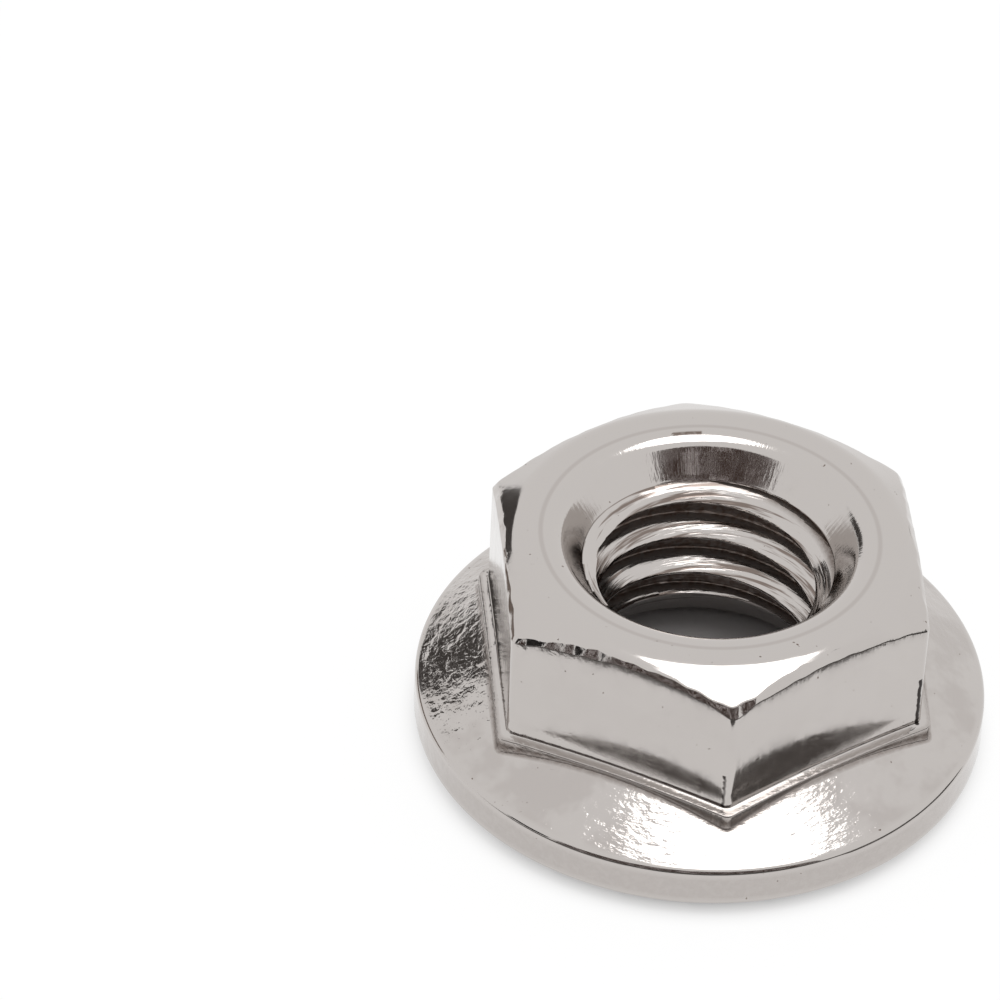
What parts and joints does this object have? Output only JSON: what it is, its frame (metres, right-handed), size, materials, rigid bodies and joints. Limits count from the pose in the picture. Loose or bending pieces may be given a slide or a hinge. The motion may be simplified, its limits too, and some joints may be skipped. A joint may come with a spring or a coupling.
{
  "type": "serrated flange nut",
  "caption": "Hexagon nut with a built-in sloping flange, a funnelled threaded bore and ratchet serrations on its bearing face.",
  "frame": {"origin": "centre of the bore in the plane of the tooth tips, on the bearing side", "axes": "+Z along the bore, away from the bearing face; one corner of the hexagon points along -Y"},
  "size_m": [0.0172, 0.0172, 0.0074],
  "materials": {
    "stainless": "bright satin, cold forged, bare"
  },
  "bodies": {
    "root": {"flange_nut": "stainless"}
  },
  "joints": []
}
